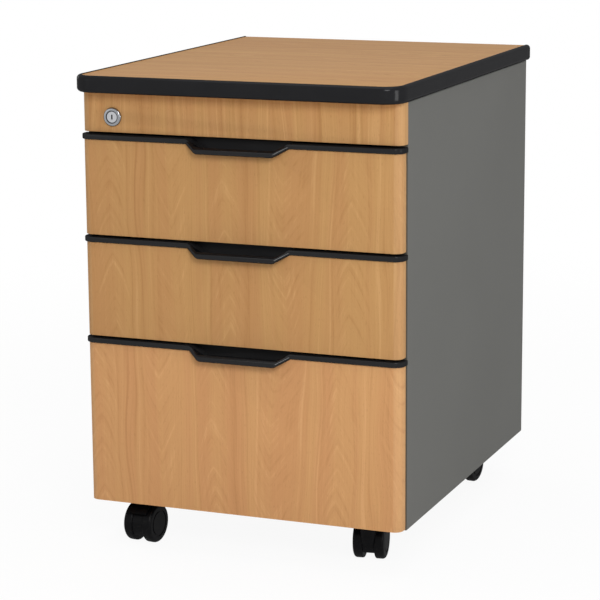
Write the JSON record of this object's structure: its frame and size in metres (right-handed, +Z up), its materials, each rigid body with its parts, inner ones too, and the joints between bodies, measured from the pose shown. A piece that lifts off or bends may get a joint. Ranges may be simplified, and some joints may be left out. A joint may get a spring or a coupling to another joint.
{
  "type": "mobile drawer pedestal",
  "caption": "Low mobile office drawer unit: painted steel case on casters, wood-laminate top and drawer fronts, full-width black handle strips, and a key lock for all drawers.",
  "frame": {"origin": "on the floor under the middle of the top", "axes": "+Z up, drawers open towards -Y, +X to the right of someone facing the fronts"},
  "size_m": [0.428, 0.54, 0.6025],
  "materials": {
    "wood_laminate": "beech laminate, satin",
    "painted_steel": "fine-textured grey powder coat",
    "black_plastic": "satin moulded black",
    "zinc_screws": "zinc plated",
    "chrome": "bright chrome plate",
    "zinc_steel": "zinc-plated sheet",
    "nylon": "natural nylon",
    "slide_steel": "zinc-plated roll-formed steel",
    "rubber": "soft black rubber",
    "axle_steel": "bright turned steel",
    "caster_plastic": "moulded black nylon"
  },
  "bodies": {
    "case": {"left_side_panel": "painted_steel", "right_side_panel": "painted_steel", "back_panel": "painted_steel", "base_pan": "painted_steel", "front_top_rail": "painted_steel", "rear_top_rail": "painted_steel", "top_board": "wood_laminate", "top_edge_band": "black_plastic", "top_board_screws": "zinc_screws", "lock_fascia": "wood_laminate", "fascia_screws": "zinc_screws", "lock_housing": "chrome", "lock_nut": "zinc_steel", "lock_bar_guides": "nylon", "upper_cabinet_rails": "slide_steel", "middle_cabinet_rails": "slide_steel", "lower_cabinet_rails": "slide_steel", "rail_screws": "zinc_screws", "drawer_bumpers": "rubber", "caster_stems": "axle_steel", "caster_nuts": "zinc_screws"},
    "lock_plug": {"lock_barrel": "chrome", "lock_cam": "zinc_steel"},
    "lock_bar": {"lock_bar": "zinc_steel"},
    "upper_drawer": {"upper_drawer_box": "painted_steel", "upper_drawer_front": "wood_laminate", "upper_drawer_handle": "black_plastic", "upper_front_screws": "zinc_screws", "upper_drawer_catch": "zinc_steel", "upper_drawer_rails": "slide_steel"},
    "middle_drawer": {"middle_drawer_box": "painted_steel", "middle_drawer_front": "wood_laminate", "middle_drawer_handle": "black_plastic", "middle_front_screws": "zinc_screws", "middle_drawer_catch": "zinc_steel", "middle_drawer_rails": "slide_steel"},
    "lower_drawer": {"lower_drawer_box": "painted_steel", "lower_drawer_front": "wood_laminate", "lower_drawer_handle": "black_plastic", "lower_front_screws": "zinc_screws", "lower_drawer_catch": "zinc_steel", "lower_drawer_rails": "slide_steel"},
    "lower_slides": {"lower_middle_rails": "slide_steel"},
    "front_left_caster": {"front_left_caster_hood": "caster_plastic", "front_left_caster_axle": "axle_steel"},
    "front_left_right_wheel": {"front_left_caster_right_wheel": "caster_plastic"},
    "front_left_left_wheel": {"front_left_caster_left_wheel": "caster_plastic"},
    "front_right_caster": {"front_right_caster_hood": "caster_plastic", "front_right_caster_axle": "axle_steel"},
    "front_right_right_wheel": {"front_right_caster_right_wheel": "caster_plastic"},
    "front_right_left_wheel": {"front_right_caster_left_wheel": "caster_plastic"},
    "rear_left_caster": {"rear_left_caster_hood": "caster_plastic", "rear_left_caster_axle": "axle_steel"},
    "rear_left_right_wheel": {"rear_left_caster_right_wheel": "caster_plastic"},
    "rear_left_left_wheel": {"rear_left_caster_left_wheel": "caster_plastic"},
    "rear_right_caster": {"rear_right_caster_hood": "caster_plastic", "rear_right_caster_axle": "axle_steel"},
    "rear_right_right_wheel": {"rear_right_caster_right_wheel": "caster_plastic"},
    "rear_right_left_wheel": {"rear_right_caster_left_wheel": "caster_plastic"}
  },
  "joints": [
    {"name": "lock_turn", "type": "hinge", "parent": "case", "child": "lock_plug", "pos_m": [-0.167, -0.245, 0.5505], "axis": [0, 1, 0], "range_deg": [0, 90]},
    {"name": "lock_bar_drop", "type": "slide", "parent": "case", "child": "lock_bar", "axis": [0, 0, -1], "range_m": [0, 0.01131]},
    {"name": "upper_drawer_slide", "type": "slide", "parent": "case", "child": "upper_drawer", "axis": [0, -1, 0], "range_m": [0, 0.33]},
    {"name": "middle_drawer_slide", "type": "slide", "parent": "case", "child": "middle_drawer", "axis": [0, -1, 0], "range_m": [0, 0.33]},
    {"name": "lower_drawer_slide", "type": "slide", "parent": "case", "child": "lower_drawer", "axis": [0, -1, 0], "range_m": [0, 0.44]},
    {"name": "lower_slides_run", "type": "slide", "parent": "case", "child": "lower_slides", "axis": [0, -1, 0], "range_m": [0, 0.22]},
    {"name": "front_left_swivel", "type": "hinge", "parent": "case", "child": "front_left_caster", "pos_m": [-0.148, -0.195, 0.05], "axis": [0, 0, 1], "continuous": true},
    {"name": "front_left_right_wheel_spin", "type": "hinge", "parent": "front_left_caster", "child": "front_left_right_wheel", "pos_m": [-0.14957, -0.21293, 0.025], "axis": [-0.9962, 0.0872, 0], "continuous": true},
    {"name": "front_left_left_wheel_spin", "type": "hinge", "parent": "front_left_caster", "child": "front_left_left_wheel", "pos_m": [-0.14957, -0.21293, 0.025], "axis": [-0.9962, 0.0872, 0], "continuous": true},
    {"name": "front_right_swivel", "type": "hinge", "parent": "case", "child": "front_right_caster", "pos_m": [0.148, -0.195, 0.05], "axis": [0, 0, 1], "continuous": true},
    {"name": "front_right_right_wheel_spin", "type": "hinge", "parent": "front_right_caster", "child": "front_right_right_wheel", "pos_m": [0.14518, -0.17722, 0.025], "axis": [0.9877, 0.1564, 0], "continuous": true},
    {"name": "front_right_left_wheel_spin", "type": "hinge", "parent": "front_right_caster", "child": "front_right_left_wheel", "pos_m": [0.14518, -0.17722, 0.025], "axis": [0.9877, 0.1564, 0], "continuous": true},
    {"name": "rear_left_swivel", "type": "hinge", "parent": "case", "child": "rear_left_caster", "pos_m": [-0.148, 0.175, 0.05], "axis": [0, 0, 1], "continuous": true},
    {"name": "rear_left_right_wheel_spin", "type": "hinge", "parent": "rear_left_caster", "child": "rear_left_right_wheel", "pos_m": [-0.14039, 0.19131, 0.025], "axis": [0.9063, -0.4226, 0], "continuous": true},
    {"name": "rear_left_left_wheel_spin", "type": "hinge", "parent": "rear_left_caster", "child": "rear_left_left_wheel", "pos_m": [-0.14039, 0.19131, 0.025], "axis": [0.9063, -0.4226, 0], "continuous": true},
    {"name": "rear_right_swivel", "type": "hinge", "parent": "case", "child": "rear_right_caster", "pos_m": [0.148, 0.175, 0.05], "axis": [0, 0, 1], "continuous": true},
    {"name": "rear_right_right_wheel_spin", "type": "hinge", "parent": "rear_right_caster", "child": "rear_right_right_wheel", "pos_m": [0.14957, 0.19293, 0.025], "axis": [0.9962, -0.0872, 0], "continuous": true},
    {"name": "rear_right_left_wheel_spin", "type": "hinge", "parent": "rear_right_caster", "child": "rear_right_left_wheel", "pos_m": [0.14957, 0.19293, 0.025], "axis": [0.9962, -0.0872, 0], "continuous": true}
  ],
  "couplings": [
    {"joint": "lock_turn", "follows": "lock_bar_drop", "rad_per_m": 138.84},
    {"joint": "lower_slides_run", "follows": "lower_drawer_slide", "ratio": 0.5}
  ]
}
